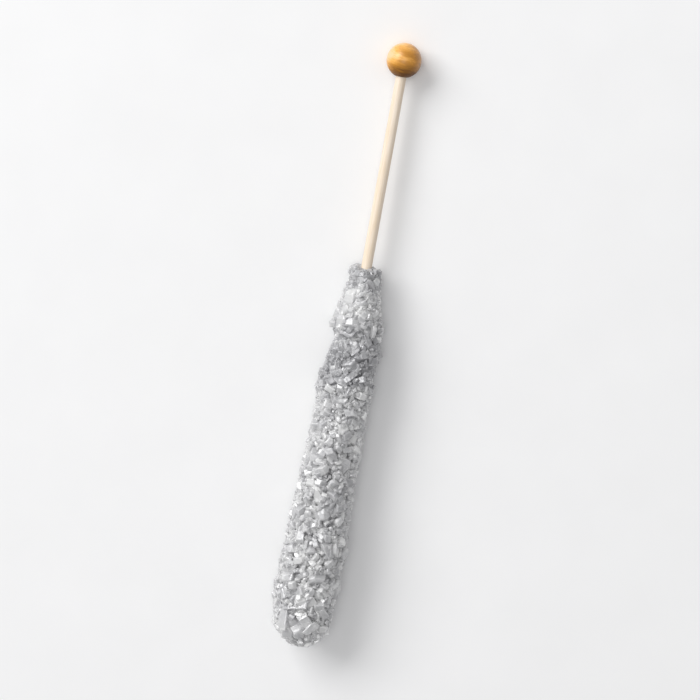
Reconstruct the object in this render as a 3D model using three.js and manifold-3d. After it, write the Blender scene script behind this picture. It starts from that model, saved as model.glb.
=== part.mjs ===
// Rock candy stick: silver sugar crystals grown round a thin wooden stick that has a turned ball on its end.
// Millimetres, +Z up. It lies on the plane z = 0 along X, the ball towards +X, and the origin is the centre of
// its footprint.
//
// The pieces are made in the stick's own frame: x runs along the stick from the candy's blunt end (x = 0) to the
// ball, and z points up. The last lines lean that frame until the candy and the ball both touch the table.

import * as THREE from 'three';
import { ConvexGeometry } from 'three/addons/geometries/ConvexGeometry.js';
import { mergeVertices } from 'three/addons/utils/BufferGeometryUtils.js';
import Module from 'manifold-3d';

// Driving dimensions
const BALL_DIAMETER = 9.5;
const STICK_DIAMETER = 2.9;
const BARE_STICK_LENGTH = 52;
const CANDY_LENGTH = 108.5;
const FIT_GAP = 0.3;

// The stick's hidden ends: how far it goes into the ball, and how far it stops short of the candy's blunt end.
const SOCKET_DEPTH = 4.5;
const STICK_END = 9;
const BORE_END = STICK_END - FIT_GAP;
const STICK_TOP = CANDY_LENGTH + BARE_STICK_LENGTH + SOCKET_DEPTH;

// How the piece lies: the height of the stick's axis over the table where the candy rests.
const REST_X = 24;
const REST_HEIGHT = 8.5;

// The candy's outline: its mean reach to the +Y side and to the -Y side at stations along the stick, from the blunt
// end to the collar at the bare stick. The tips of the crystals stand out over it.
const OUTLINE = [
  [0, 7.0, 7.3], [8.5, 8.3, 7.9], [16, 9.7, 8.3], [22, 9.2, 8.2], [29, 8.8, 8.8], [37, 8.6, 8.0],
  [47, 8.2, 7.7], [56, 7.6, 7.6], [65, 7.3, 7.5], [76.5, 8.0, 7.9], [80, 6.5, 7.3], [84, 5.9, 8.3],
  [88, 5.0, 7.4], [91.5, 7.2, 7.9], [95, 6.0, 6.4], [99, 5.4, 5.6], [104, 4.4, 4.7], [CANDY_LENGTH, 4.3, 4.5],
];
const TIP_RISE = 0.5;
const BLUNT_END = 5.5;
const COLLAR_END = 1.6;
const COLLAR_SLOPE = 0.6;
const STEEPEST_SLOPE = 3;
const SLOPE_STEP = 0.2;

// Two waves of slow lumps round the candy: how often each turns round the axis, how fast it turns along the stick,
// where it starts and how high it is for each millimetre of radius.
const LUMPS = [[2, 0.11, 0, 0.06], [3, -0.17, 1.3, 0.042]];

// The crystals: each is a leaning five-sided block with a roof-shaped tip.
const CRYSTAL_AREA = 28;
const SMALLEST_CRYSTAL = 3.1;
const LARGEST_CRYSTAL = 6.4;
const LEAN_OF_CRYSTAL = Math.tan(THREE.MathUtils.degToRad(13.5));
const STEEPEST_TILT = THREE.MathUtils.degToRad(74);
const LEAST_BITE = 0.6;
const SEED = 20;

// A crystal's proportions, each as its least value and how much more it may be. The first three are for each
// millimetre of its size, the cut corner and the roof's width are shares of its half width, and the shoulder, where
// the roof starts, is a share of its half length.
const HALF_LENGTH = [0.5, 0.16];
const HALF_WIDTH = [0.34, 0.14];
const HALF_DEPTH = [0.24, 0.12];
const CUT_CORNER = [0.35, 0.4];
const SHOULDER = [0.35, 0.45];
const ROOF_WIDTH = [0.4, 0.3];
const ROOF_DEPTH = 0.75;
const FOOT = 0.82;

// The spiral that the crystals are set along. Near the collar they are smaller.
const FIRST_CRYSTAL = 0.25;
const LAST_CRYSTAL = CANDY_LENGTH - 0.2;
const COLLAR_STRETCH = 8;
const COLLAR_SIZE = 0.75;
const THINNEST_RADIUS = 3.2;
const STEP_SPREAD = [0.85, 0.3];
const TURN_SPREAD = [-0.15, 0.3];

// The core under the crystals, and the bore through it for the stick.
const CORE_DEPTH = 2.3;
const CORE_START = [2.2, 4];
const CORE_END = CANDY_LENGTH - 1.2;
const BORE_MOUTH = CANDY_LENGTH + 9;
const BORE_RADIUS = STICK_DIAMETER / 2 + FIT_GAP;

// How finely the round pieces are faceted.
const CORE_SIDES = 12;
const BORE_SIDES = 16;
const STICK_SIDES = 24;
const BALL_SIDES = 28;
const BALL_RINGS = 15;

const BALL_X = CANDY_LENGTH + BARE_STICK_LENGTH + BALL_DIAMETER / 2;
const DROP = (REST_HEIGHT - BALL_DIAMETER / 2) / (BALL_X - REST_X);
const LEAN = Math.asin(DROP);
const GOLDEN_ANGLE = Math.PI * (3 - Math.sqrt(5));

const SILVER = new THREE.MeshStandardMaterial({ color: 0xb2b2b3, roughness: 0.3, metalness: 0.35 });
const PALE_WOOD = new THREE.MeshStandardMaterial({ color: 0xeedcc4, roughness: 0.7, metalness: 0 });
const BROWN_WOOD = new THREE.MeshStandardMaterial({ color: 0xd2914a, roughness: 0.45, metalness: 0 });

const wasm = await Module();
wasm.setup();

// A repeatable stream of numbers from 0 to 1.
function randomStream(seed) {
  let state = seed;
  return () => {
    state = (state + 0x6d2b79f5) >>> 0;
    let t = Math.imul(state ^ (state >>> 15), 1 | state);
    t = (t + Math.imul(t ^ (t >>> 7), 61 | t)) ^ t;
    return ((t ^ (t >>> 14)) >>> 0) / 4294967296;
  };
}

// A number between a pair's first value and the sum of both.
function pick([least, spread], draw) {
  return least + spread * draw();
}

// A closed geometry as a solid that can be joined and cut.
function solidOf(geometry) {
  const bare = geometry.index ? geometry.toNonIndexed() : geometry.clone();
  bare.deleteAttribute('normal');
  bare.deleteAttribute('uv');
  const merged = mergeVertices(bare, 1e-4);
  return new wasm.Manifold(new wasm.Mesh({
    numProp: 3,
    vertProperties: merged.attributes.position.array,
    triVerts: new Uint32Array(merged.index.array),
  }));
}

function geometryOf(positions, triangles) {
  const geometry = new THREE.BufferGeometry();
  geometry.setAttribute('position', new THREE.BufferAttribute(positions, 3));
  geometry.setIndex([...triangles]);
  return geometry;
}

// The largest connected shell of a solid, which leaves out loose scraps and sealed hollows.
function largestShell(solid) {
  const { vertProperties, triVerts } = solid.getMesh();
  const parent = Uint32Array.from({ length: vertProperties.length / 3 }, (_, i) => i);
  const root = (i) => {
    while (parent[i] !== i) {
      parent[i] = parent[parent[i]];
      i = parent[i];
    }
    return i;
  };
  for (let t = 0; t < triVerts.length; t += 3) {
    parent[root(triVerts[t + 1])] = root(triVerts[t]);
    parent[root(triVerts[t + 2])] = root(triVerts[t]);
  }
  const shells = new Map();
  for (let t = 0; t < triVerts.length; t += 3) {
    const key = root(triVerts[t]);
    if (!shells.has(key)) shells.set(key, []);
    shells.get(key).push(triVerts[t], triVerts[t + 1], triVerts[t + 2]);
  }
  const largest = [...shells.values()].reduce((a, b) => (b.length > a.length ? b : a));
  return geometryOf(vertProperties, largest);
}

// A round piece turned about the stick's axis, from (x, radius) pairs.
function turned(profile, sides) {
  const points = profile.map(([x, radius]) => new THREE.Vector2(radius, x));
  return new THREE.LatheGeometry(points, sides).rotateZ(-Math.PI / 2);
}

// The outline's reach to one side at x, smooth between the stations and rounded in at both ends.
function sideReach(x, side) {
  const found = OUTLINE.findIndex(([station]) => station >= x);
  const at = THREE.MathUtils.clamp(found < 0 ? OUTLINE.length : found, 1, OUTLINE.length - 1);
  const before = OUTLINE[at - 1];
  const after = OUTLINE[at];
  const reach = THREE.MathUtils.lerp(before[side], after[side], THREE.MathUtils.smoothstep(x, before[0], after[0]));
  const blunt = 1 - THREE.MathUtils.clamp(x / BLUNT_END, 0, 1);
  const collar = 1 - THREE.MathUtils.clamp((CANDY_LENGTH - x) / COLLAR_END, 0, 1);
  return reach * Math.sqrt(1 - blunt * blunt) * Math.sqrt(1 - COLLAR_SLOPE * collar * collar);
}

function meanRadius(x) {
  return (sideReach(x, 1) + sideReach(x, 2)) / 2;
}

// The outline's radius at x and at an angle from +Y. The slow lumps fade out towards both sides.
function lumpyRadius(x, angle) {
  const lopsided = (sideReach(x, 1) - sideReach(x, 2)) / 2 * Math.cos(angle);
  const lumps = LUMPS.reduce((sum, [turns, twist, start, height]) => (
    sum + height * Math.sin(turns * angle + twist * x + start)
  ), 0);
  return meanRadius(x) * (1 + lumps * Math.sin(angle) ** 2) + lopsided;
}

// The direction straight out of the outline at x, where radial points away from the stick.
function outwardNormal(x, radial) {
  const slope = (meanRadius(x + SLOPE_STEP) - meanRadius(x - SLOPE_STEP)) / (2 * SLOPE_STEP);
  return radial.clone().setX(-THREE.MathUtils.clamp(slope, -STEEPEST_SLOPE, STEEPEST_SLOPE)).normalize();
}

// Corners of one crystal of a given size: a prism whose five-sided section leans as it rises, with a roofed tip.
function crystalCorners(size, draw) {
  const halfLength = size * pick(HALF_LENGTH, draw);
  const halfWidth = size * pick(HALF_WIDTH, draw);
  const halfDepth = size * pick(HALF_DEPTH, draw);
  const cut = pick(CUT_CORNER, draw);
  const shoulder = halfLength * pick(SHOULDER, draw);
  const section = [
    [-1, -1], [1 - cut, -1], [1, cut - 1], [1, 1], [-1, 1],
  ];
  const rings = [[-halfLength, FOOT, FOOT], [shoulder, 1, 1], [halfLength, pick(ROOF_WIDTH, draw), ROOF_DEPTH]];
  return rings.flatMap(([z, wide, deep]) => section.map(([u, v]) => new THREE.Vector3(
    u * wide * halfWidth + z * LEAN_OF_CRYSTAL,
    v * deep * halfDepth,
    z,
  )));
}

// How a crystal stands: its long axis tilts away from the outward normal, and it is spun about itself.
function crystalTurn(normal, draw) {
  const side = new THREE.Vector3(0, normal.z, -normal.y).normalize().applyAxisAngle(normal, draw() * 2 * Math.PI);
  const tilt = new THREE.Quaternion().setFromAxisAngle(side, STEEPEST_TILT * Math.sqrt(draw()));
  const outward = new THREE.Quaternion().setFromUnitVectors(new THREE.Vector3(0, 0, 1), normal);
  const spin = new THREE.Quaternion().setFromAxisAngle(new THREE.Vector3(0, 0, 1), draw() * 2 * Math.PI);
  return tilt.multiply(outward).multiply(spin);
}

// Height of a point over the table, in the stick's own frame.
function heightOverTable(point) {
  return point.z * Math.cos(LEAN) + REST_HEIGHT - (point.x - REST_X) * DROP;
}

// Moves a crystal's corners until its outermost corner is level with the anchor, its innermost one bites into the
// core, and none is under the table.
function settle(corners, anchor, normal) {
  const reach = corners.map((corner) => corner.dot(normal));
  const sink = Math.max(Math.max(...reach), Math.min(...reach) + TIP_RISE + CORE_DEPTH + LEAST_BITE);
  const placed = corners.map((corner) => corner.clone().add(anchor).addScaledVector(normal, -sink));
  const lift = Math.max(0, -Math.min(...placed.map(heightOverTable)));
  return placed.map((corner) => corner.setZ(corner.z + lift / Math.cos(LEAN)));
}

// Every crystal's corners, walked along a golden-angle spiral that gives each the same share of the surface.
function crystals() {
  const draw = randomStream(SEED);
  const made = [];
  let angle = 0;
  let x = FIRST_CRYSTAL;
  while (x < LAST_CRYSTAL) {
    const radius = lumpyRadius(x, angle);
    const radial = new THREE.Vector3(0, Math.cos(angle), Math.sin(angle));
    const normal = outwardNormal(x, radial);
    const anchor = radial.multiplyScalar(radius).setX(x).addScaledVector(normal, TIP_RISE);
    anchor.x = THREE.MathUtils.clamp(anchor.x, 0, CANDY_LENGTH);
    const spread = draw();
    const inCollar = x > CANDY_LENGTH - COLLAR_STRETCH;
    const size = THREE.MathUtils.lerp(SMALLEST_CRYSTAL, LARGEST_CRYSTAL, spread ** 2) * (inCollar ? COLLAR_SIZE : 1);
    const corners = crystalCorners(size, draw);
    const turn = crystalTurn(normal, draw);
    corners.forEach((corner) => corner.applyQuaternion(turn));
    made.push(settle(corners, anchor, normal));
    const ring = 2 * Math.PI * Math.max(radius, THINNEST_RADIUS);
    x += CRYSTAL_AREA / ring * pick(STEP_SPREAD, draw);
    angle += GOLDEN_ANGLE + pick(TURN_SPREAD, draw);
  }
  return made;
}

// The uneven body that the crystals stand on.
function core() {
  const stations = [...CORE_START, ...OUTLINE.slice(1, -1).map(([x]) => x), CORE_END];
  const profile = stations.map((x) => [x, meanRadius(x) - CORE_DEPTH]);
  return turned([[stations[0], 0], ...profile, [stations.at(-1), 0]], CORE_SIDES);
}

function candy() {
  const bore = turned([
    [BORE_END, 0], [BORE_END, BORE_RADIUS], [BORE_MOUTH, BORE_RADIUS], [BORE_MOUTH, 0],
  ], BORE_SIDES);
  let pieces = [solidOf(core()), ...crystals().map((corners) => solidOf(new ConvexGeometry(corners)))];
  while (pieces.length > 1) {
    const joined = [];
    for (let i = 0; i < pieces.length; i += 2) {
      joined.push(i + 1 < pieces.length ? pieces[i].add(pieces[i + 1]) : pieces[i]);
    }
    pieces = joined;
  }
  return largestShell(pieces[0].subtract(solidOf(bore)));
}

function stick() {
  const radius = STICK_DIAMETER / 2;
  return turned([[STICK_END, 0], [STICK_END, radius], [STICK_TOP, radius], [STICK_TOP, 0]], STICK_SIDES);
}

function ball() {
  const radius = BALL_DIAMETER / 2;
  const mouth = Math.asin(BORE_RADIUS / radius);
  const arc = Array.from({ length: BALL_RINGS + 1 }, (_, i) => {
    const angle = mouth + (Math.PI - mouth) * i / BALL_RINGS;
    return [BALL_X - radius * Math.cos(angle), i === BALL_RINGS ? 0 : radius * Math.sin(angle)];
  });
  const floor = STICK_TOP + FIT_GAP;
  return turned([[floor, 0], [floor, BORE_RADIUS], ...arc], BALL_SIDES);
}

function mesh(name, geometry, material) {
  const made = new THREE.Mesh(geometry, material);
  made.name = name;
  return made;
}

const lying = new THREE.Group();
lying.add(mesh('candy', candy(), SILVER), mesh('stick', stick(), PALE_WOOD), mesh('ball', ball(), BROWN_WOOD));
lying.rotation.y = LEAN;

const part = new THREE.Group();
part.add(lying);
part.updateMatrixWorld(true);
const bounds = new THREE.Box3().setFromObject(part, true);
const middle = bounds.getCenter(new THREE.Vector3());
lying.position.set(-middle.x, -middle.y, -bounds.min.z);
part.updateMatrixWorld(true);

export default part;
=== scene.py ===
"""Rock candy stick: silver sugar crystals on a thin wooden stick with a turned ball, lying on a pale table.

Sizes are in millimetres in the stick's own frame, where x runs along the stick from the candy's blunt end
to the ball and z points up. LyingFrame turns them into metres in the row frame, where every piece is made.
"""

import logging
import math
from collections.abc import Callable, Iterable, Sequence
from dataclasses import dataclass, field
from enum import Enum
from functools import lru_cache

import bmesh
import bpy
from mathutils import Matrix, Quaternion, Vector, noise
from mathutils.bvhtree import BVHTree


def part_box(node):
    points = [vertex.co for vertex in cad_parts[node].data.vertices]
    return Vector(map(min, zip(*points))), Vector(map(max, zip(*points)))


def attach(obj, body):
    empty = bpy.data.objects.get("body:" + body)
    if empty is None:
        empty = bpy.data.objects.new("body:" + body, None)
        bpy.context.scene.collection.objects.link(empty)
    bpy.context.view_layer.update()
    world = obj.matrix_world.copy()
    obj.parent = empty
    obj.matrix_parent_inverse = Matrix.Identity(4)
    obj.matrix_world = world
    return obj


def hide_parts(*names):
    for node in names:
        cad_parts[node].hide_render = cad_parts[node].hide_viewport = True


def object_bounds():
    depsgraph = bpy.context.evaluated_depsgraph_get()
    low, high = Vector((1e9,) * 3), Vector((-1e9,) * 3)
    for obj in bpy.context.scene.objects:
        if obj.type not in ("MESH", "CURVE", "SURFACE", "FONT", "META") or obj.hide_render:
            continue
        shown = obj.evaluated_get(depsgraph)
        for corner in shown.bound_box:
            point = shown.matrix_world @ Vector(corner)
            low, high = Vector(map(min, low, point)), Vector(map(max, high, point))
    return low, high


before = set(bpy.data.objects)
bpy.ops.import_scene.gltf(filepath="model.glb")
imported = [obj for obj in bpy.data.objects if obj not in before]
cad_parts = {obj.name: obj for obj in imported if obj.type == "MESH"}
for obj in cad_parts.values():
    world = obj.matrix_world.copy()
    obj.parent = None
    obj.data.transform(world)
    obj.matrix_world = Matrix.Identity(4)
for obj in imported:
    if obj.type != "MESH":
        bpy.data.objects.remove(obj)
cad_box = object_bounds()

log = logging.getLogger("rock_candy_stick")

Draw = Callable[[], float]
Span = tuple[float, float]
Spread = tuple[float, float]
Triple = tuple[float, float, float]
Colour = Triple
Socket = bpy.types.NodeSocket

METRES = 0.001
FULL_TURN = 2 * math.pi
QUARTER_TURN = math.pi / 2
GOLDEN_ANGLE = math.pi * (3 - math.sqrt(5))
WHOLE: Span = (0, 1)
BODY = "root"


class Slot(Enum):
    """The record's material slots."""

    SILVER_SUGAR = "silver_sugar"
    PALE_WOOD = "pale_wood"
    BROWN_WOOD = "brown_wood"


def clamp(value: float, low: float = 0.0, high: float = 1.0) -> float:
    """Keep a value between two limits."""
    return max(low, min(high, value))


def mix(a: float, b: float, share: float) -> float:
    """Go from a to b by a share."""
    return a + (b - a) * share


def smooth_share(value: float, low: float, high: float) -> float:
    """Ease from 0 at low to 1 at high."""
    t = clamp((value - low) / (high - low))
    return t * t * (3 - 2 * t)


def number_stream(seed: int) -> Draw:
    """Make a repeatable stream of numbers, the same one as the solids were made from.

    Args:
        seed: Where the stream starts.

    Returns:
        A function that gives the next number from 0 to 1.
    """
    mask = 0xFFFFFFFF
    state = seed

    def draw() -> float:
        """Give the next number.

        Returns:
            A number from 0 to 1.
        """
        nonlocal state
        state = (state + 0x6D2B79F5) & mask
        t = ((state ^ (state >> 15)) * (1 | state)) & mask
        t = ((t + ((t ^ (t >> 7)) * (61 | t))) & mask) ^ t
        return ((t ^ (t >> 14)) & mask) / (mask + 1)

    return draw


def pick(spread: Spread, draw: Draw) -> float:
    """Draw a number from a spread, which holds the least value and how much more it can be."""
    return spread[0] + spread[1] * draw()


def pick_around(width: float, draw: Draw) -> float:
    """Draw a number from a range of this width round 0."""
    return width * (draw() - 0.5)


def round_point(x: float, radius: float, angle: float) -> Vector:
    """Point at x, at a radius from the stick's axis and at an angle from +Y."""
    return Vector((x, radius * math.cos(angle), radius * math.sin(angle)))


@dataclass(frozen=True)
class StickSizes:
    """The driving sizes of the whole stick, in millimetres, as the solids have them."""

    ball_diameter: float = 9.5
    stick_diameter: float = 2.9
    bare_length: float = 52.0
    candy_length: float = 108.5
    socket_depth: float = 4.5
    stick_start: float = 9.0
    rest_x: float = 24.0
    rest_height: float = 8.5

    @property
    def ball_x(self) -> float:
        """Place of the ball's centre along the stick."""
        return self.candy_length + self.bare_length + self.ball_diameter / 2

    @property
    def stick_end(self) -> float:
        """Place of the stick's end in the ball."""
        return self.candy_length + self.bare_length + self.socket_depth

    @property
    def drop(self) -> float:
        """How far the stick comes down for each millimetre towards the ball."""
        return (self.rest_height - self.ball_diameter / 2) / (self.ball_x - self.rest_x)


@dataclass(frozen=True)
class LyingFrame:
    """Turns the stick's own frame in millimetres into the row frame in metres."""

    sizes: StickSizes

    @property
    def lean(self) -> float:
        """The angle by which the stick leans down towards the ball."""
        return math.asin(self.sizes.drop)

    @property
    def turn(self) -> Matrix:
        """The lean as a rotation."""
        return Matrix.Rotation(self.lean, 3, "Y")

    def matrix(self) -> Matrix:
        """Find the frame's place from the middle of the stick's solid.

        Returns:
            The matrix from millimetres on the stick to metres in the row frame.
        """
        low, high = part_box("stick")
        middle = Vector(((self.sizes.stick_start + self.sizes.stick_end) / 2, 0, 0))
        place = Matrix.Translation((low + high) / 2)
        return place @ self.turn.to_4x4() @ Matrix.Scale(METRES, 4) @ Matrix.Translation(-middle)

    def height(self, point: Vector) -> float:
        """Height of a point of the stick over the table, in millimetres."""
        axis = self.sizes.rest_height - (point.x - self.sizes.rest_x) * self.sizes.drop
        return point.z * math.cos(self.lean) + axis


@dataclass(frozen=True)
class Pattern:
    """A cloudy pattern in a material.

    The scale counts its patches in a millimetre. The detail is how many finer layers it has, the roughness
    how strong those are, and the distortion how far it is pulled about. A stretch under 1 draws it out along
    that axis, after a turn in radians.
    """

    scale: float
    detail: float = 2.0
    roughness: float = 0.5
    distortion: float = 0.0
    stretch: Triple = (1, 1, 1)
    turn: Triple = (0, 0, 0)


class ShaderGraph:
    """Adds and links the shader nodes of one material, with coordinates in millimetres."""

    most_of_a_pattern: Span = (0.3, 0.7)
    peaks_of_a_pattern: Span = (0.62, 0.8)

    def __init__(self, name: str) -> None:
        """Start a material with one main shader.

        Args:
            name: The material's name.
        """
        self.material = bpy.data.materials.new(name)
        self.material.use_nodes = True
        self.tree = self.material.node_tree
        self.shader = self.tree.nodes["Principled BSDF"]
        self.object_space = self.tree.nodes.new("ShaderNodeTexCoord").outputs["Object"]

    def node(self, kind: str, **settings: object) -> bpy.types.Node:
        """Add a node.

        Args:
            kind: The node's type without the word ShaderNode.
            settings: Properties of the node.

        Returns:
            The new node.
        """
        made = self.tree.nodes.new("ShaderNode" + kind)
        for name, value in settings.items():
            setattr(made, name, value)
        return made

    def plug(self, socket: Socket, value: object) -> None:
        """Link a node's input to another socket, or set its value.

        Args:
            socket: The input.
            value: A number, a colour, a vector or a socket.
        """
        if isinstance(value, bpy.types.NodeSocket):
            self.tree.links.new(value, socket)
        else:
            socket.default_value = value

    def feed(self, node: bpy.types.Node, **inputs: object) -> bpy.types.Node:
        """Set or link a node's inputs, with spaces in their names written as underscores.

        Args:
            node: The node to feed.
            inputs: A number, colour or socket for each input.

        Returns:
            The same node.
        """
        for name, value in inputs.items():
            self.plug(node.inputs[name.replace("_", " ")], value)
        return node

    def join(self, kind: str, operation: str, a: object, b: object) -> bpy.types.Node:
        """Add a node that works on two values.

        Args:
            kind: Math for numbers or VectorMath for vectors.
            operation: The name of the operation.
            a: A value or a socket.
            b: A value or a socket.

        Returns:
            The node.
        """
        made = self.node(kind, operation=operation)
        for socket, value in zip(made.inputs, (a, b)):
            self.plug(socket, value)
        return made

    def calculate(self, operation: str, a: object, b: object) -> Socket:
        """Add, multiply or otherwise join two numbers."""
        return self.join("Math", operation, a, b).outputs[0]

    def vector(self, operation: str, a: object, b: object) -> Socket:
        """Add, take away or multiply two vectors."""
        return self.join("VectorMath", operation, a, b).outputs[0]

    def total(self, *values: Socket) -> Socket:
        """Add up some values.

        Args:
            values: The values.

        Returns:
            Their total.
        """
        total = values[0]
        for value in values[1:]:
            total = self.calculate("ADD", total, value)
        return total

    def millimetres(self, stretch: Sequence[float] = (1, 1, 1), turn: Sequence[float] = (0, 0, 0)) -> Socket:
        """Give the surface's place in millimetres.

        Args:
            stretch: How fast the place runs along each axis.
            turn: Rotation in radians, before the stretch.

        Returns:
            The place as a vector.
        """
        turned = self.node("Mapping", vector_type="POINT")
        self.feed(turned, Vector=self.object_space, Rotation=turn, Scale=[1 / METRES] * 3)
        return self.vector("MULTIPLY", turned.outputs[0], stretch)

    def noise(self, pattern: Pattern) -> Socket:
        """Add a cloudy pattern.

        Args:
            pattern: The pattern.

        Returns:
            A value from 0 to 1.
        """
        made = self.feed(
            self.node("TexNoise"),
            Vector=self.millimetres(pattern.stretch, pattern.turn),
            Scale=pattern.scale,
            Detail=pattern.detail,
            Roughness=pattern.roughness,
            Distortion=pattern.distortion,
        )
        return made.outputs["Fac"]

    def facets(self, size: float) -> tuple[Socket, Socket]:
        """Break a surface into small flat facets, each with its own slant and shade.

        Args:
            size: How wide a facet is, in millimetres.

        Returns:
            The height of the slanted facets in millimetres, for a slope of one, and a shade from 0 to 1.
        """
        place = self.millimetres()
        cells = self.feed(self.node("TexVoronoi"), Vector=place, Scale=1 / size)
        offset = self.vector("SUBTRACT", place, cells.outputs["Position"])
        middle_grey = (0.5, 0.5, 0.5)
        slant = self.vector("SUBTRACT", cells.outputs["Color"], middle_grey)
        height = self.join("VectorMath", "DOT_PRODUCT", offset, slant)
        shade = self.feed(self.node("SeparateXYZ"), Vector=cells.outputs["Color"])
        return height.outputs["Value"], shade.outputs["X"]

    def attribute(self, name: str) -> Socket:
        """Read a number that the mesh holds."""
        return self.node("Attribute", attribute_name=name).outputs["Fac"]

    def ranged(self, value: Socket, span: Span, to_span: Span) -> Socket:
        """Spread a value from one range to another.

        Args:
            value: The value.
            span: The old range.
            to_span: The new range.

        Returns:
            The new value, kept inside the new range.
        """
        made = self.node("MapRange", clamp=True)
        self.feed(made, Value=value, From_Min=span[0], From_Max=span[1], To_Min=to_span[0], To_Max=to_span[1])
        return made.outputs[0]

    def spread(self, pattern: Socket, to_span: Span) -> Socket:
        """Spread a cloudy pattern over a new range."""
        return self.ranged(pattern, self.most_of_a_pattern, to_span)

    def peaks(self, pattern: Socket, to_span: Span) -> Socket:
        """Spread only the peaks of a cloudy pattern over a new range."""
        return self.ranged(pattern, self.peaks_of_a_pattern, to_span)

    def ramp(self, value: Socket, places: Sequence[float], colours: Sequence[Colour]) -> Socket:
        """Turn a value into a colour.

        Args:
            value: The value from 0 to 1.
            places: Where each colour lies.
            colours: The colours.

        Returns:
            The colour.
        """
        made = self.node("ValToRGB")
        elements = made.color_ramp.elements
        while len(elements) < len(places):
            elements.new(1.0)
        for element, place, colour in zip(elements, places, colours):
            element.position = place
            element.color = (*colour, 1)
        self.tree.links.new(value, made.inputs[0])
        return made.outputs[0]

    def bump(self, height: Socket, depth: float, under: Socket | None = None) -> Socket:
        """Turn a height into a bent surface direction.

        Args:
            height: The height, where 1 stands for the depth.
            depth: The relief in millimetres.
            under: A coarser relief that this one lies on.

        Returns:
            The direction.
        """
        made = self.feed(self.node("Bump"), Height=height, Distance=depth * METRES, Strength=1.0)
        if under is not None:
            self.feed(made, Normal=under)
        return made.outputs[0]


@dataclass(frozen=True)
class SilverSugarFinish:
    """Sugar crystals coated with pearly silver: grey, glossy, and each a little different from the next.

    The colours run from a very dark grey crystal to a near-white one. A crystal's tone, the clouds, the fine
    dust and the facets add up to a shade, which the colour places turn into a colour. Depths are in
    millimetres.
    """

    darkest_grey: Colour = (0.39, 0.39, 0.40)
    dark: Colour = (0.47, 0.47, 0.48)
    middle: Colour = (0.60, 0.60, 0.605)
    light: Colour = (0.75, 0.75, 0.745)
    clear: Colour = (0.90, 0.90, 0.895)
    colour_places: tuple[float, ...] = (0, 0.13, 0.45, 0.85, 1)
    tones: Span = (-0.6, 1.6)
    tone_shades: Span = (-0.175, 1.0625)
    patches: Pattern = Pattern(0.09, 1)
    clouds: Pattern = Pattern(0.3)
    cloud_shades: Span = (-0.12, 0.12)
    dust: Pattern = Pattern(7.0, 3, 0.7)
    dust_shades: Span = (-0.06, 0.06)
    dust_depth: float = 0.010
    ripples: Pattern = Pattern(1.6, 3, 0.55, 0.6, stretch=(1, 2.4, 1.3), turn=(0.4, 0.9, 0.2))
    ripple_depth: float = 0.035
    facet_size: float = 1.1
    facet_slope: float = 0.35
    facet_shades: Span = (-0.1, 0.1)
    metallic: float = 0.20
    matt_range: Span = (0.2, 0.9)
    dullness: Span = (0.26, 0.48)
    pale_dullness: Span = (0, 0.12)
    gloss_coat: float = 0.5
    coat_roughness: float = 0.12
    glow: float = 0.8
    glow_depth: float = 2.0
    melted: float = 0.22
    melted_samples: int = 6

    def material(self) -> bpy.types.Material:
        """Build the material.

        Returns:
            The material.
        """
        graph = ShaderGraph("silver_sugar")
        tone = graph.attribute("tone")
        dust = graph.noise(self.dust)
        slants, facet_tone = graph.facets(self.facet_size)
        shade = graph.total(
            graph.ranged(tone, self.tones, self.tone_shades),
            graph.spread(graph.noise(self.patches), self.cloud_shades),
            graph.spread(graph.noise(self.clouds), self.cloud_shades),
            graph.spread(dust, self.dust_shades),
            graph.ranged(facet_tone, WHOLE, self.facet_shades),
        )
        colours = (self.darkest_grey, self.dark, self.middle, self.light, self.clear)
        matt = graph.total(graph.ranged(tone, WHOLE, self.pale_dullness), graph.spread(dust, WHOLE))
        edges = graph.feed(graph.node("Bevel", samples=self.melted_samples), Radius=self.melted * METRES)
        relief = graph.bump(slants, self.facet_slope, edges.outputs[0])
        relief = graph.bump(graph.noise(self.ripples), self.ripple_depth, relief)
        relief = graph.bump(dust, self.dust_depth, relief)
        graph.feed(
            graph.shader,
            Base_Color=graph.ramp(shade, self.colour_places, colours),
            Metallic=self.metallic,
            Roughness=graph.ranged(matt, self.matt_range, self.dullness),
            Coat_Weight=self.gloss_coat,
            Coat_Roughness=self.coat_roughness,
            Subsurface_Weight=self.glow,
            Subsurface_Radius=(1, 1, 1),
            Subsurface_Scale=self.glow_depth * METRES,
            Normal=relief,
        )
        return graph.material


@dataclass(frozen=True)
class PaleWoodFinish:
    """Sanded pale hardwood with fine grain along the stick, with its depths in millimetres."""

    pale: Colour = (0.89, 0.78, 0.66)
    grain: Colour = (0.77, 0.61, 0.42)
    colour_places: Span = (0.1, 1.0)
    fibres: Pattern = Pattern(3.2, 4, 0.6, stretch=(0.035, 1, 1))
    fibre_shades: Span = (0, 0.55)
    fibre_depth: float = 0.04
    pores: Pattern = Pattern(9.0, 2, 0.7, stretch=(0.12, 1, 1))
    pore_shades: Span = (0, 0.4)
    pore_depth: float = 0.02
    patches: Pattern = Pattern(0.8, stretch=(0.1, 0.5, 0.5))
    patch_shades: Span = (0, 0.3)
    dullness: Span = (0.47, 0.65)

    def material(self) -> bpy.types.Material:
        """Build the material.

        Returns:
            The material.
        """
        graph = ShaderGraph("pale_wood")
        fibres = graph.noise(self.fibres)
        pores = graph.noise(self.pores)
        shade = graph.total(
            graph.spread(fibres, self.fibre_shades),
            graph.spread(graph.noise(self.patches), self.patch_shades),
            graph.peaks(pores, self.pore_shades),
        )
        graph.feed(
            graph.shader,
            Base_Color=graph.ramp(shade, self.colour_places, (self.pale, self.grain)),
            Roughness=graph.spread(fibres, self.dullness),
            Normal=graph.bump(pores, self.pore_depth, graph.bump(fibres, self.fibre_depth)),
        )
        return graph.material


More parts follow.
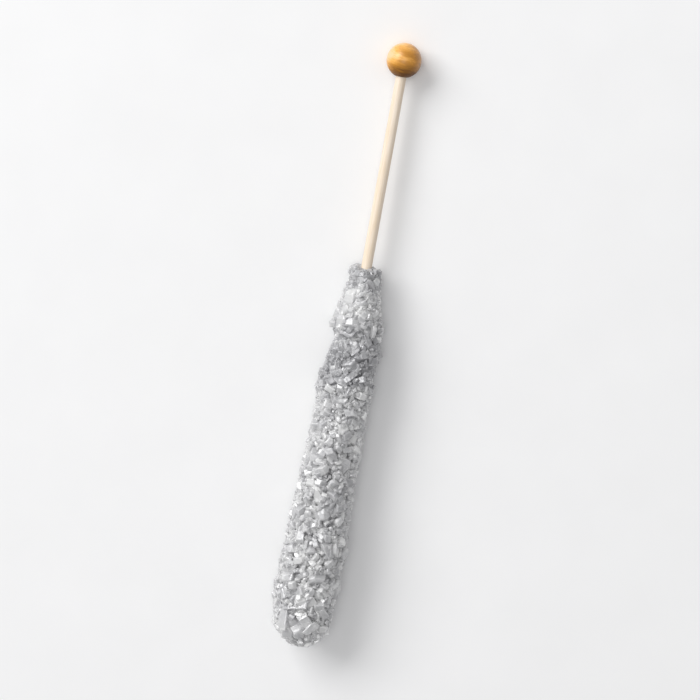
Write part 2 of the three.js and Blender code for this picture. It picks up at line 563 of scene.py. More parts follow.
@dataclass(frozen=True)
class LacqueredWoodFinish:
    """Golden brown turned wood under a satin lacquer, with painted shade darkening it towards its drilled
    end.

    It has painted shade on the side of -Y and a paler painted highlight towards +Y and the far end.
    The places of the drilled end and of the centre, and all reaches and depths, are in millimetres.
    """

    hole_x: float
    centre_x: float
    # The palest colour is the painted highlight's colour, where the painted highlight lies.
    painted_highlight_cream: Colour = (0.86, 0.58, 0.30)
    light: Colour = (0.90, 0.46, 0.10)
    middle: Colour = (0.58, 0.25, 0.028)
    # The darkest brown shows mostly in the painted shade at the drilled end.
    dark: Colour = (0.15, 0.058, 0.010)
    colour_places: tuple[float, ...] = (0, 0.22, 0.47, 1)
    bands: Pattern = Pattern(0.45, 2, 0.5, 0.5, stretch=(1, 0.16, 0.4), turn=(0.1, 0.05, 0.15))
    band_shades: Span = (0.04, 0.36)
    streaks: Pattern = Pattern(2.2, 3, 0.6, 0.3, stretch=(1, 0.16, 0.4), turn=(0.1, 0.05, 0.15))
    streak_shades: Span = (0, 0.2)
    streak_depth: float = 0.03
    pores: Pattern = Pattern(6.0, 2, 0.6, stretch=(1.6, 0.35, 1))
    pore_shades: Span = (0, 0.3)
    pore_depth: float = 0.02
    # Painted shade: the -Y side is darker and +Y a little lighter, as if one side were lit and the other
    # shaded.
    side_reach: Span = (-4.5, 4.5)
    painted_side_shades: Span = (0.15, -0.075)
    # Painted highlight: paler towards +Y and the far end, where the key light's highlight falls on the ball.
    painted_highlight_cream_reach: Span = (0.5, 4.5)
    painted_highlight_cream_shades: Span = (0, -0.18)
    painted_highlight_cream_slant: float = 0.4
    # Painted shade: darker towards the drilled end, where the ball meets the stick.
    painted_socket_shade_length: float = 5.0
    painted_socket_shade_shades: Span = (0.85, 0)
    painted_socket_shade_fade: float = 1.3
    dullness: Span = (0.37, 0.52)
    shine: float = 0.15
    coated_range: Span = (0.15, 0.6)
    coat: Span = (1.0, 0.1)
    coat_ior: float = 1.5
    coat_roughness: float = 0.36

    def material(self) -> bpy.types.Material:
        """Build the material.

        Returns:
            The material.
        """
        graph = ShaderGraph("brown_wood")
        streaks = graph.noise(self.streaks)
        pores = graph.noise(self.pores)
        place = graph.feed(graph.node("SeparateXYZ"), Vector=graph.millimetres()).outputs
        from_centre = graph.calculate("SUBTRACT", place["X"], self.centre_x)
        # Painted highlight: a place that grows towards +Y and towards the far end.
        towards_painted_highlight = graph.total(graph.calculate("MULTIPLY", from_centre, self.painted_highlight_cream_slant), place["Y"])
        # Painted shade towards the drilled end; the lacquer coat also thins where it is strong.
        painted_socket_shade = graph.ranged(place["X"], (self.hole_x, self.hole_x + self.painted_socket_shade_length), self.painted_socket_shade_shades)
        shade = graph.total(
            graph.spread(graph.noise(self.bands), self.band_shades),
            graph.spread(streaks, self.streak_shades),
            graph.peaks(pores, self.pore_shades),
            # Painted shade on the -Y side, and a painted highlight towards +Y and the far end.
            graph.ranged(place["Y"], self.side_reach, self.painted_side_shades),
            graph.ranged(towards_painted_highlight, self.painted_highlight_cream_reach, self.painted_highlight_cream_shades),
            graph.calculate("POWER", painted_socket_shade, self.painted_socket_shade_fade),
        )
        colours = (self.painted_highlight_cream, self.light, self.middle, self.dark)
        graph.feed(
            graph.shader,
            Base_Color=graph.ramp(shade, self.colour_places, colours),
            Roughness=graph.spread(streaks, self.dullness),
            Specular_IOR_Level=self.shine,
            Coat_Weight=graph.ranged(painted_socket_shade, self.coated_range, self.coat),
            Coat_IOR=self.coat_ior,
            Coat_Roughness=self.coat_roughness,
            Normal=graph.bump(pores, self.pore_depth, graph.bump(streaks, self.streak_depth)),
        )
        return graph.material


@dataclass(frozen=True)
class TableFinish:
    """Near-white matt table top."""

    colour: Colour = (0.90, 0.90, 0.90)
    paler: Colour = (0.918, 0.918, 0.918)
    mottle: Pattern = Pattern(0.05, 3)
    roughness: float = 0.85

    def material(self) -> bpy.types.Material:
        """Build the material.

        Returns:
            The material.
        """
        graph = ShaderGraph("table_top")
        tone = graph.ramp(graph.noise(self.mottle), graph.most_of_a_pattern, (self.colour, self.paler))
        graph.feed(graph.shader, Base_Color=tone, Roughness=self.roughness)
        return graph.material


def mesh_object(name: str, made: bmesh.types.BMesh, place: Matrix | None = None) -> bpy.types.Object:
    """Turn a bmesh into an object at the origin.

    Args:
        name: The object's name.
        made: The bmesh, which is freed.
        place: A matrix for its vertices.

    Returns:
        The object, linked to the scene.
    """
    if place is not None:
        bmesh.ops.transform(made, matrix=place, verts=made.verts)
    mesh = bpy.data.meshes.new(name)
    made.to_mesh(mesh)
    made.free()
    piece = bpy.data.objects.new(name, mesh)
    bpy.context.scene.collection.objects.link(piece)
    return piece


def turned_mesh(
    profile: Sequence[tuple[float, float]],
    sides: int,
    relief: Callable[[float, float], float] | None = None,
) -> bmesh.types.BMesh:
    """Turn a profile about the stick's axis into a closed mesh.

    Args:
        profile: (x, radius) pairs in millimetres, the first and last on the axis.
        sides: Points round the axis.
        relief: Extra radius at an x and an angle.

    Returns:
        The mesh.
    """
    made = bmesh.new()
    rings = []
    for x, radius in profile:
        if radius == 0:
            rings.append([made.verts.new((x, 0, 0))])
            continue
        ring = []
        for k in range(sides):
            angle = FULL_TURN * k / sides
            extra = relief(x, angle) if relief else 0.0
            ring.append(made.verts.new(round_point(x, radius + extra, angle)))
        rings.append(ring)
    for before, after in zip(rings, rings[1:]):
        for k in range(sides):
            here = (before[k % len(before)], before[(k + 1) % len(before)])
            there = (after[(k + 1) % len(after)], after[k % len(after)])
            made.faces.new(list(dict.fromkeys(here + there)))
    bmesh.ops.recalc_face_normals(made, faces=made.faces)
    return made


@dataclass(frozen=True)
class CandyOutline:
    """How far the candy reaches from the stick's axis, the same as the solid has it.

    A reach is a place along the stick with how far the candy goes there to +Y and to -Y. A lump is its count
    round the stick, its twist, its start and its height as a share of the radius. The fine crystals leave
    shallow hollows, about a hollow's width across.
    """

    sizes: StickSizes
    blunt_end: float = 5.5
    collar_end: float = 1.6
    collar_slope: float = 0.6
    tip_rise: float = 0.5
    steepest_slope: float = 3.0
    slope_step: float = 0.2
    end_margin: float = 0.3
    hollow_width: float = 4.0
    hollow_depth: float = 1.5
    lumps: tuple[tuple[float, float, float, float], ...] = ((2, 0.11, 0, 0.06), (3, -0.17, 1.3, 0.042))
    reaches: tuple[tuple[float, float, float], ...] = (
        (0, 7.0, 7.3), (8.5, 8.3, 7.9), (16, 9.7, 8.3), (22, 9.2, 8.2), (29, 8.8, 8.8), (37, 8.6, 8.0),
        (47, 8.2, 7.7), (56, 7.6, 7.6), (65, 7.3, 7.5), (76.5, 8.0, 7.9), (80, 6.5, 7.3), (84, 5.9, 8.3),
        (88, 5.0, 7.4), (91.5, 7.2, 7.9), (95, 6.0, 6.4), (99, 5.4, 5.6), (104, 4.4, 4.7), (108.5, 4.3, 4.5),
    )

    @lru_cache(maxsize=None)
    def side_reach(self, x: float, side: int) -> float:
        """Reach to one side at x, smooth between the stations and rounded in at both ends.

        Args:
            x: Place along the stick.
            side: 1 for +Y and 2 for -Y.

        Returns:
            The reach in millimetres.
        """
        last = len(self.reaches) - 1
        at = next((k for k, row in enumerate(self.reaches) if row[0] >= x), last)
        at = min(max(at, 1), last)
        before, after = self.reaches[at - 1], self.reaches[at]
        reach = mix(before[side], after[side], smooth_share(x, before[0], after[0]))
        blunt = 1 - clamp(x / self.blunt_end)
        collar = 1 - clamp((self.sizes.candy_length - x) / self.collar_end)
        return reach * math.sqrt(1 - blunt * blunt) * math.sqrt(1 - self.collar_slope * collar * collar)

    def mean_radius(self, x: float) -> float:
        """Mean of the reaches to both sides."""
        return (self.side_reach(x, 1) + self.side_reach(x, 2)) / 2

    def radius(self, x: float, angle: float) -> float:
        """Find the outline's radius, with the slow lumps that make the candy uneven.

        Args:
            x: Place along the stick.
            angle: Angle from +Y.

        Returns:
            The radius in millimetres.
        """
        lopsided = (self.side_reach(x, 1) - self.side_reach(x, 2)) / 2 * math.cos(angle)
        lumps = sum(
            height * math.sin(count * angle + twist * x + start)
            for count, twist, start, height in self.lumps
        )
        return self.mean_radius(x) * (1 + lumps * math.sin(angle) ** 2) + lopsided

    def normal(self, x: float, angle: float) -> Vector:
        """Find the direction straight out of the outline.

        Args:
            x: Place along the stick.
            angle: Angle from +Y.

        Returns:
            The direction.
        """
        rise = self.mean_radius(x + self.slope_step) - self.mean_radius(x - self.slope_step)
        slope = clamp(rise / (2 * self.slope_step), -self.steepest_slope, self.steepest_slope)
        return Vector((-slope, math.cos(angle), math.sin(angle))).normalized()

    def tip(self, x: float, angle: float) -> Vector:
        """Find the point that the tip of a crystal reaches.

        Args:
            x: Place along the stick.
            angle: Angle from +Y.

        Returns:
            The point, between the candy's two ends.
        """
        point = round_point(x, self.radius(x, angle), angle) + self.normal(x, angle) * self.tip_rise
        point.x = clamp(point.x, 0, self.sizes.candy_length)
        return point

    def room(self, x: float, angle: float) -> float:
        """Find how far from the axis the fine crystals may reach.

        Args:
            x: Place along the stick.
            angle: Angle from +Y.

        Returns:
            The reach in millimetres, less where a hollow lies.
        """
        inside = clamp(x, self.end_margin, self.sizes.candy_length - self.end_margin)
        radius = self.radius(round(inside, 1), angle)
        hollow = max(0.0, noise.noise(round_point(x, radius, angle) / self.hollow_width))
        return radius + self.tip_rise - self.hollow_depth * hollow

    def excess(self, corners: Iterable[Vector]) -> float:
        """How far a crystal reaches out of its room, at the corner that reaches out most."""
        return max(math.hypot(c.y, c.z) - self.room(c.x, math.atan2(c.z, c.y)) for c in corners)


@dataclass(frozen=True)
class CrystalHabit:
    """The proportions of a sugar crystal: a leaning five-sided block with a roofed tip.

    A spread holds the least share of the crystal's size and how much more it can be.
    """

    lean: float = math.tan(math.radians(13.5))
    steepest_tilt: float = math.radians(74)
    half_length: Spread = (0.5, 0.16)
    half_width: Spread = (0.34, 0.14)
    half_depth: Spread = (0.24, 0.12)
    cut: Spread = (0.35, 0.4)
    shoulder: Spread = (0.35, 0.45)
    foot: float = 0.82
    roof_width: Spread = (0.4, 0.3)
    roof_depth: float = 0.75
    grain_half_length: Spread = (0.42, 0.2)
    grain_half_width: Spread = (0.3, 0.18)
    grain_half_depth: Spread = (0.22, 0.16)

    def corners(self, size: float, draw: Draw) -> list[Vector]:
        """Make a crystal's corners about its own centre.

        Args:
            size: Its length, give or take.
            draw: The stream of numbers.

        Returns:
            Three rings of five corners.
        """
        half_length = size * pick(self.half_length, draw)
        half_width = size * pick(self.half_width, draw)
        half_depth = size * pick(self.half_depth, draw)
        cut = pick(self.cut, draw)
        shoulder = half_length * pick(self.shoulder, draw)
        section = ((-1, -1), (1 - cut, -1), (1, cut - 1), (1, 1), (-1, 1))
        rings = (
            (-half_length, self.foot, self.foot),
            (shoulder, 1, 1),
            (half_length, pick(self.roof_width, draw), self.roof_depth),
        )
        return [
            Vector((u * wide * half_width + z * self.lean, v * deep * half_depth, z))
            for z, wide, deep in rings
            for u, v in section
        ]

    def grain_corners(self, size: float, draw: Draw) -> list[Vector]:
        """Make the eight corners of a small leaning block.

        Args:
            size: Its length, give or take.
            draw: The stream of numbers.

        Returns:
            Its corners about its centre.
        """
        half_length = size * pick(self.grain_half_length, draw)
        half_width = size * pick(self.grain_half_width, draw)
        half_depth = size * pick(self.grain_half_depth, draw)
        return [
            Vector((u * half_width + z * half_length * self.lean, v * half_depth, z * half_length))
            for z in (-1, 1)
            for v in (-1, 1)
            for u in (-1, 1)
        ]

    def turn(self, normal: Vector, draw: Draw) -> Quaternion:
        """Pick how a crystal stands on the surface.

        Args:
            normal: Direction out of the surface.
            draw: The stream of numbers.

        Returns:
            Its rotation, tilted away from the normal and spun about itself.
        """
        side = Vector((0, normal.z, -normal.y)).normalized()
        side.rotate(Quaternion(normal, draw() * FULL_TURN))
        tilt = Quaternion(side, self.steepest_tilt * math.sqrt(draw()))
        outward = Vector((0, 0, 1)).rotation_difference(normal)
        spin = Quaternion((0, 0, 1), draw() * FULL_TURN)
        return tilt @ outward @ spin


@dataclass(frozen=True)
class GrowthSteps:
    """Low plates on the larger faces of a crystal and shallow pans in them, where it grew layer by layer.

    A face that draws a number under the pan share has a pan, and one under the stepped share has a plate.
    """

    stepped_share: float = 0.55
    pan_share: float = 0.25
    least_area: float = 3.0
    inset: Spread = (0.22, 0.35)
    rise: Spread = (0.06, 0.12)

    def add(self, made: bmesh.types.BMesh, draw: Draw) -> None:
        """Raise or sink a plate on some of a crystal's faces.

        Args:
            made: The crystal's mesh.
            draw: The stream of numbers.
        """
        for face in list(made.faces):
            chance = draw()
            inset = pick(self.inset, draw)
            rise = pick(self.rise, draw)
            if chance > self.stepped_share or face.calc_area() < self.least_area:
                continue
            if chance < self.pan_share:
                rise = -rise
            bmesh.ops.inset_individual(made, faces=[face], thickness=inset, depth=rise, use_even_offset=True)


@dataclass(frozen=True)
class Growth:
    """One round of finer crystals.

    Its count is how many are tried and its depth how much room each needs. The crystals end below the
    outline by up to the unevenness, are roofed or plain, and have edges worn to the edge width.
    """

    name: str
    count: int
    smallest: float
    largest: float
    depth: float
    unevenness: float = 0.0
    roofed: bool = True
    edge_width: float = 0.0


@dataclass
class RockCandy:
    """The fused mass of crystals: large ones where the solid has them, and finer ones on and between them.

    The tone bands hold places along the stick and how much the tone of a crystal shifts there.
    """

    sizes: StickSizes
    outline: CandyOutline
    habit: CrystalHabit
    steps: GrowthSteps
    lying: LyingFrame
    finish: SilverSugarFinish
    name: str = "candy_crystals"
    seed: int = 20
    fine_seed: int = 33
    crystal_area: float = 28.0
    smallest: float = 3.1
    largest: float = 6.4
    first_x: float = 0.25
    end_gap: float = 0.2
    least_radius: float = 3.2
    pitch: Spread = (0.85, 0.3)
    angle_width: float = 0.3
    collar_length: float = 8.0
    collar_share: float = 0.75
    least_bite: float = 0.6
    growths: tuple[Growth, ...] = (
        Growth("infill", 1500, 2.4, 4.8, 1.4, 0.9, edge_width=0.07),
        Growth("crust", 2600, 1.5, 3.0, 1.15, 0.6, edge_width=0.05),
        Growth("grains", 3200, 0.9, 1.7, 0.9, 0.4, roofed=False),
    )
    fine_angle_width: float = 0.8
    slant_width: float = 1.2
    ray_start: float = 30.0
    raised: float = 0.2
    stand_out: float = 0.15
    core_depth: float = 2.3
    rough_core_depth: float = 1.6
    core_start: float = 2.2
    core_end_gap: float = 1.2
    core_steps: int = 100
    core_sides: int = 48
    core_relief: float = 0.5
    grit_along: float = 0.9
    grit_round: float = 5.0
    flat_angle: float = math.radians(2.5)
    sharp_angle: float = math.radians(18)
    edge_width: float = 0.08
    least_worn: float = 2.2
    face_tone: float = 0.3
    frost_and_painted_highlight_tone: float = 0.25
    clearest: float = 0.94
    clear_tone: float = 0.45
    # A crystal's tone shifts along the stick: darker from x 77 to 94 and on the collar from x 104, lighter
    # from x 97 to 101.
    tone_bands: tuple[Span, ...] = (
        (74, 0), (77, -1.0), (84, -1.0), (89, -0.4), (94, -0.1),
        (97, 0.3), (101, 0.3), (104, -0.7), (108.5, -0.9),
    )
    piece: bpy.types.Object | None = None
    blocks: list[bpy.types.Object] = field(default_factory=list)

    def settle(self, corners: list[Vector], anchor: Vector, normal: Vector) -> list[Vector]:
        """Move a crystal until its outermost corner lies on the outline and none is under the table.

        Args:
            corners: Its corners about its centre.
            anchor: The point of the outline that it grows at.
            normal: Direction out of the outline there.

        Returns:
            The corners in place.
        """
        reach = [corner.dot(normal) for corner in corners]
        bite = self.outline.tip_rise + self.core_depth + self.least_bite
        sink = max(max(reach), min(reach) + bite)
        placed = [corner + anchor - normal * sink for corner in corners]
        return self.lifted(placed)

    def lifted(self, corners: list[Vector]) -> list[Vector]:
        """Lift a crystal that would reach under the table."""
        lift = max(0.0, -min(self.lying.height(corner) for corner in corners)) / self.lying.turn[2][2]
        return [corner + Vector((0, 0, lift)) for corner in corners]

    def large_crystals(self) -> list[list[Vector]]:
        """Walk the golden-angle spiral of the solid's crystals.

        Returns:
            The corners of each large crystal.
        """
        draw = number_stream(self.seed)
        made = []
        angle = 0.0
        x = self.first_x
        while x < self.sizes.candy_length - self.end_gap:
            radius = self.outline.radius(x, angle)
            normal = self.outline.normal(x, angle)
            anchor = self.outline.tip(x, angle)
            spread = draw()
            size = mix(self.smallest, self.largest, spread * spread)
            if x > self.sizes.candy_length - self.collar_length:
                size *= self.collar_share
            corners = self.habit.corners(size, draw)
            turn = self.habit.turn(normal, draw)
            made.append(self.settle([turn @ corner for corner in corners], anchor, normal))
            x += self.crystal_area / (FULL_TURN * max(radius, self.least_radius)) * pick(self.pitch, draw)
            angle += GOLDEN_ANGLE + pick_around(self.angle_width, draw)
        return made

    def dust(self, corners: list[Vector]) -> float:
        """Find how much a crystal's tone shifts at its place along the stick.

        Args:
            corners: The crystal's corners.

        Returns:
            The shift, below 0 for a darker crystal.
        """
        x = sum(corner.x for corner in corners) / len(corners)
        for (start, before), (end, after) in zip(self.tone_bands, self.tone_bands[1:]):
            if start <= x < end:
                return mix(before, after, (x - start) / (end - start))
        return 0.0

    def tone(self, corners: list[Vector], draw: Draw) -> float:
        """Pick how light a crystal is: any grey, with a few near white.

        Args:
            corners: The crystal's corners.
            draw: The stream of numbers.

        Returns:
            The tone.
        """
        grey = draw()
        clear = self.clear_tone if grey > self.clearest else 0.0
        # The tone also shifts with the crystal's place along the stick.
        return grey + clear + self.dust(corners)

    def block(self, corners: list[Vector], draw: Draw, edge: float, stepped: bool = False) -> None:
        """Make one crystal as a closed block of its own.

        Args:
            corners: Its corners.
            draw: The stream of numbers.
            edge: Width of its worn edges, or 0 for sharp ones.
            stepped: Whether its faces have growth steps.
        """
        made = bmesh.new()
        for corner in corners:
            made.verts.new(corner)
        bmesh.ops.convex_hull(made, input=made.verts)
        bmesh.ops.dissolve_limit(made, angle_limit=self.flat_angle, verts=made.verts, edges=made.edges)
        if stepped:
            self.steps.add(made, draw)
        tones = made.faces.layers.float.new("tone")
        tone = self.tone(corners, draw)
        for face in made.faces:
            face[tones] = tone + pick_around(self.face_tone, draw)
        if edge:
            sharp = [e for e in made.edges if e.calc_face_angle(0) > self.sharp_angle]
            bevel = {"offset": edge, "segments": 1, "affect": "EDGES", "clamp_overlap": True}
            for face in bmesh.ops.bevel(made, geom=sharp, **bevel)["faces"]:
                # Lighter worn edges: partly frost, partly a painted highlight along the edges.
                face[tones] = tone + self.frost_and_painted_highlight_tone
        bmesh.ops.recalc_face_normals(made, faces=made.faces)
        mesh = bpy.data.meshes.new("crystal")
        made.to_mesh(mesh)
        made.free()
        self.blocks.append(bpy.data.objects.new("crystal", mesh))

    def surface(self) -> BVHTree:
        """Gather the crystals made so far into a tree that rays can hit.

        Returns:
            The tree.
        """
        points: list[Vector] = []
        polygons: list[list[int]] = []
        for block in (self.piece, *self.blocks):
            start = len(points)
            points.extend(vertex.co.copy() for vertex in block.data.vertices)
            polygons.extend([start + k for k in polygon.vertices] for polygon in block.data.polygons)
        return BVHTree.FromPolygons(points, polygons)

    def grow(self, growth: Growth, draw: Draw) -> None:
        """Grow finer crystals on the ones made so far.

        Args:
            growth: What is grown.
            draw: The stream of numbers.
        """
        tree = self.surface()
        shape = self.habit.corners if growth.roofed else self.habit.grain_corners
        angle = 0.0
        for k in range(growth.count):
            x = self.sizes.candy_length * (k + draw()) / growth.count
            angle += GOLDEN_ANGLE + pick_around(self.fine_angle_width, draw)
            spread = draw()
            slant = pick_around(self.slant_width, draw)
            radial = Vector((0, math.cos(angle), math.sin(angle)))
            start = Vector((x + slant * self.ray_start, 0, 0)) + radial * self.ray_start
            aim = (Vector((x, 0, 0)) - start).normalized()
            hit, normal, _, _ = tree.ray_cast(start, aim)
            size = mix(growth.smallest, growth.largest, spread * spread)
            corners = shape(size, draw)
            if hit is None or self.outline.room(x, angle) - hit.dot(radial) < growth.depth:
                continue
            turn = self.habit.turn(normal if normal.dot(radial) > 0 else radial, draw)
            placed = [turn @ corner + hit + normal * size * self.raised for corner in corners]
            short = growth.unevenness * draw()
            placed = [corner - radial * max(0.0, self.outline.excess(placed) + short) for corner in placed]
            low, high = min(c.x for c in placed), max(c.x for c in placed)
            if low < 0 or high > self.sizes.candy_length or self.outline.excess(placed) > self.stand_out:
                continue
            self.block(self.lifted(placed), draw, growth.edge_width if size > self.least_worn else 0.0)
        log.info("%s: %d crystals with the %s", self.name, len(self.blocks), growth.name)

    def crag(self, x: float, angle: float) -> float:
        """Height of the core's surface over its mean radius, uneven like fine sugar."""
        grit = noise.noise(round_point(x * self.grit_along, self.grit_round, angle))
        return self.outline.radius(x, angle) - self.outline.mean_radius(x) + self.core_relief * grit

    def core(self) -> bmesh.types.BMesh:
        """Make the uneven body that the crystals stand on.

        Returns:
            Its mesh.
        """
        start, end = self.core_start, self.sizes.candy_length - self.core_end_gap
        stations = [mix(start, end, k / self.core_steps) for k in range(self.core_steps + 1)]
        profile = [(x, self.outline.mean_radius(x) - self.rough_core_depth) for x in stations]
        return turned_mesh([(start, 0), *profile, (end, 0)], self.core_sides, self.crag)

    def join(self) -> bpy.types.Object:
        """Fuse the core and all the crystals into one closed mesh.

        Returns:
            The candy, in the stick's own frame.
        """
        piece = self.piece
        grown = bpy.data.collections.new("grown_crystals")
        bpy.context.scene.collection.children.link(grown)
        for block in self.blocks:
            grown.objects.link(block)
        fuse = piece.modifiers.new("fuse", "BOOLEAN")
        fuse.operation = "UNION"
        fuse.operand_type = "COLLECTION"
        fuse.collection = grown
        fuse.solver = "MANIFOLD"
        fused = bpy.data.meshes.new_from_object(piece.evaluated_get(bpy.context.evaluated_depsgraph_get()))
        piece.modifiers.clear()
        piece.data = fused
        for block in self.blocks:
            bpy.data.meshes.remove(block.data)
        bpy.data.collections.remove(grown)
        self.blocks.clear()
        return piece

    def keep_outer_shell(self, mesh: bpy.types.Mesh) -> None:
        """Delete what isn't joined to the outside: sealed hollows and loose scraps.

        Args:
            mesh: The fused mesh, which is changed.
        """
        made = bmesh.new()
        made.from_mesh(mesh)
        unseen = set(made.faces)
        shells: list[list[bmesh.types.BMFace]] = []
        while unseen:
            front = [unseen.pop()]
            shell = list(front)
            while front:
                face = front.pop()
                for edge in face.edges:
                    for beside in edge.link_faces:
                        if beside in unseen:
                            unseen.remove(beside)
                            front.append(beside)
                            shell.append(beside)
            shells.append(shell)
        outer = max(shells, key=len)
        loose = [face for shell in shells if shell is not outer for face in shell]
        bmesh.ops.delete(made, geom=loose, context="FACES")
        log.info("%s: %d hollows and scraps left out", self.name, len(shells) - 1)
        made.to_mesh(mesh)
        made.free()

    def build(self) -> bpy.types.Object:
        """Make the candy.

        Returns:
            The finished piece.
        """
        fine = number_stream(self.fine_seed)
        self.piece = mesh_object(self.name, self.core())
        self.piece.data.attributes.new("tone", "FLOAT", "FACE")
        for corners in self.large_crystals():
            self.block(corners, fine, self.edge_width, stepped=True)
        log.info("%s: %d large crystals", self.name, len(self.blocks))
        for growth in self.growths:
            self.grow(growth, fine)
        piece = self.join()
        self.keep_outer_shell(piece.data)
        piece.data.name = self.name
        piece.data.transform(self.lying.matrix())
        piece.data.materials.clear()
        piece.data.materials.append(self.finish.material())
        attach(piece, BODY)
        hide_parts("candy")
        return piece


@dataclass
class Dowel:
    """The thin wooden stick between the candy and the ball."""

    sizes: StickSizes
    lying: LyingFrame
    finish: PaleWoodFinish
    name: str = "wooden_stick"
    sides: int = 64
    ring_step: float = 1.0
    relief_height: float = 0.02
    fibre_along: float = 0.05
    fibre_round: float = 6.0
    bend_along: float = 0.03
    bend_round: float = 0.8
    bend_offset: float = 9.0

    def relief(self, x: float, angle: float) -> float:
        """Find the height of the wood's surface over its plain radius.

        Args:
            x: Place along the stick.
            angle: Angle from +Y.

        Returns:
            The height in millimetres.
        """
        fibres = noise.noise(round_point(x * self.fibre_along, self.fibre_round, angle))
        across, up = self.bend_round * math.cos(angle), self.bend_round * math.sin(angle)
        bends = noise.noise((x * self.bend_along, across, up + self.bend_offset))
        return self.relief_height * (fibres + bends)

    def build(self) -> bpy.types.Object:
        """Make the stick.

        Returns:
            The finished piece.
        """
        radius = self.sizes.stick_diameter / 2
        start, end = self.sizes.stick_start, self.sizes.stick_end
        count = round((end - start) / self.ring_step)
        rings = [(mix(start, end, k / count), radius) for k in range(count + 1)]
        made = turned_mesh([(start, 0), *rings, (end, 0)], self.sides, self.relief)
        piece = mesh_object(self.name, made, self.lying.matrix())
        piece.data.shade_smooth()
        piece.data.materials.append(self.finish.material())
        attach(piece, BODY)
        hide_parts("stick")
        return piece


@dataclass
class TurnedBall:
    """The turned wooden ball on the stick's end, drilled to take the stick."""

    sizes: StickSizes
    lying: LyingFrame
    finish: LacqueredWoodFinish
    name: str = "wooden_ball"
    sides: int = 96
    rings: int = 64
    socket_gap: float = 0.05
    rim: float = 0.18
    rim_steps: int = 5

    def profile(self) -> list[tuple[float, float]]:
        """Draw the ball's profile from the bottom of its socket round the eased rim to the far side.

        Returns:
            (x, radius) pairs in millimetres.
        """
        radius = self.sizes.ball_diameter / 2
        hole = self.sizes.stick_diameter / 2 + self.socket_gap
        floor = self.sizes.stick_end + self.socket_gap
        mouth = math.asin((hole + self.rim) / radius)
        edge = self.sizes.ball_x - radius * math.cos(mouth)
        ease = [
            (edge + self.rim * (1 - math.cos(t)), hole + self.rim * (1 - math.sin(t)))
            for t in (QUARTER_TURN * k / self.rim_steps for k in range(self.rim_steps, 0, -1))
        ]
        arc = [
            (self.sizes.ball_x - radius * math.cos(a), radius * math.sin(a))
            for a in (mix(mouth, math.pi, k / self.rings) for k in range(self.rings))
        ]
        return [(floor, 0), (floor, hole), *ease, *arc, (self.sizes.ball_x + radius, 0)]

    def build(self) -> bpy.types.Object:
        """Make the ball.

        Returns:
            The finished piece.
        """
        piece = mesh_object(self.name, turned_mesh(self.profile(), self.sides), self.lying.matrix())
        piece.data.shade_smooth()
        piece.data.materials.append(self.finish.material())
        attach(piece, BODY)
        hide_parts("ball")
        return piece


@dataclass(frozen=True)
class SoftLight:
    """One soft rectangular light that points at the object, in metres and watts."""

    name: str
    place: Triple
    size: Span
    power: float

    def build(self, target: Vector) -> None:
        """Make the light and turn it to the target.

        Args:
            target: The point that it shines at.
        """
        lamp = bpy.data.lights.new(self.name, "AREA")
        lamp.shape = "RECTANGLE"
        lamp.size, lamp.size_y = self.size
        lamp.energy = self.power
        made = bpy.data.objects.new(self.name, lamp)
        made.location = Vector(self.place)
        made.rotation_mode = "QUATERNION"
        made.rotation_quaternion = (target - made.location).to_track_quat("-Z", "Y")
        bpy.context.scene.collection.objects.link(made)


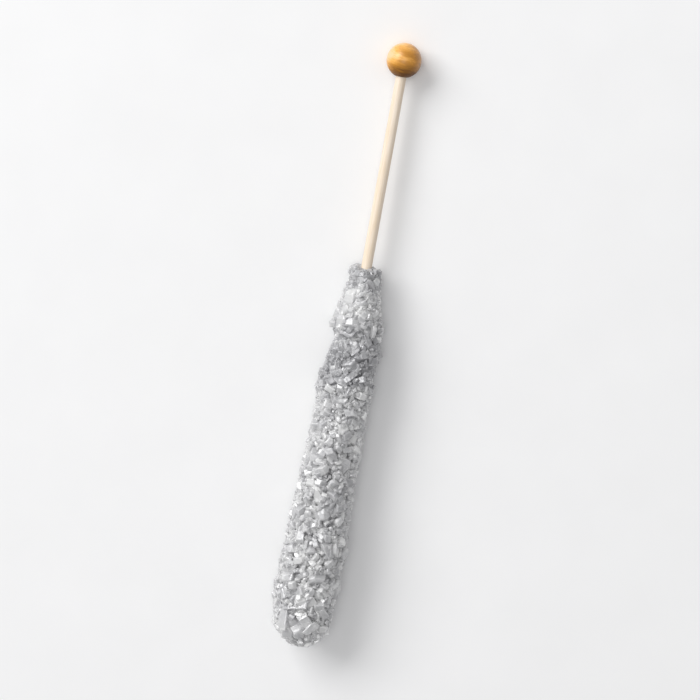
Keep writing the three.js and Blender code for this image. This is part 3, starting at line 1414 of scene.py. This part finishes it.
@dataclass
class Studio:
    """The pale table, the soft lights and the camera, with sizes in metres."""

    finish: TableFinish
    table_size: float = 3.0
    table_cells: int = 8
    elevation: float = math.radians(80)
    lean_in_picture: float = math.radians(10.3)
    distance: float = 0.73
    picture_width: float = 0.192
    sensor_millimetres: float = 36.0
    seen_range: Span = (0.01, 20)
    surroundings: Colour = (0.62, 0.62, 0.63)
    surroundings_strength: float = 0.60
    lights: tuple[SoftLight, ...] = (
        SoftLight("key_light", (0.95, 1.30, 1.15), (1.50, 1.00), 32.0),
        SoftLight("top_light", (0.15, 0.10, 1.80), (0.90, 0.75), 6.5),
    )

    def table(self) -> None:
        """Lay the table top under the stick."""
        made = bmesh.new()
        cells = self.table_cells
        bmesh.ops.create_grid(made, x_segments=cells, y_segments=cells, size=self.table_size / 2)
        piece = mesh_object("table_top", made)
        piece.data.materials.append(self.finish.material())

    def sky(self) -> None:
        """Fill the room with plain grey light."""
        world = bpy.data.worlds.new("studio")
        world.use_nodes = True
        background = world.node_tree.nodes["Background"]
        background.inputs["Color"].default_value = (*self.surroundings, 1)
        background.inputs["Strength"].default_value = self.surroundings_strength
        bpy.context.scene.world = world

    def camera(self, target: Vector) -> None:
        """Look down on the stick from the ball's side, with the stick leaning as in the photograph.

        Args:
            target: The middle of the stick.
        """
        back = Vector((math.cos(self.elevation), 0, math.sin(self.elevation)))
        along = Vector((1, 0, 0))
        up = (along - back * along.dot(back)).normalized()
        right = up.cross(back)
        cos, sin = math.cos(self.lean_in_picture), math.sin(self.lean_in_picture)
        up, right = up * cos - right * sin, right * cos + up * sin
        data = bpy.data.cameras.new("camera")
        data.sensor_width = self.sensor_millimetres
        data.lens = self.sensor_millimetres * self.distance / self.picture_width
        data.clip_start, data.clip_end = self.seen_range
        made = bpy.data.objects.new("camera", data)
        turn = Matrix((right, up, back)).transposed().to_4x4()
        made.matrix_world = Matrix.Translation(target + back * self.distance) @ turn
        bpy.context.scene.collection.objects.link(made)
        bpy.context.scene.camera = made

    def build(self) -> None:
        """Set the studio up."""
        low, high = Vector(cad_box[0]), Vector(cad_box[1])
        target = (low + high) / 2
        self.table()
        self.sky()
        for light in self.lights:
            light.build(target)
        self.camera(target)
        bpy.context.scene.view_settings.view_transform = "Standard"


def ball_place() -> tuple[float, float]:
    """Find where the ball's drilled end and its centre lie along X, in millimetres."""
    low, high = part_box("ball")
    return low.x / METRES, (low.x + high.x) / 2 / METRES


def report(piece: bpy.types.Object) -> None:
    """Log a piece's name and how many triangles it has."""
    triangles = sum(len(polygon.vertices) - 2 for polygon in piece.data.polygons)
    log.info("%s: %d triangles", piece.name, triangles)


def main() -> None:
    """Build the stick piece by piece and set up the studio."""
    logging.basicConfig(level=logging.INFO, format="%(name)s: %(message)s")
    sizes = StickSizes()
    lying = LyingFrame(sizes)
    candy = RockCandy(sizes, CandyOutline(sizes), CrystalHabit(), GrowthSteps(), lying, SilverSugarFinish())
    dowel = Dowel(sizes, lying, PaleWoodFinish())
    ball = TurnedBall(sizes, lying, LacqueredWoodFinish(*ball_place()))
    for part in (candy, dowel, ball):
        report(part.build())
    Studio(TableFinish()).build()


if __name__ == "__main__":
    main()
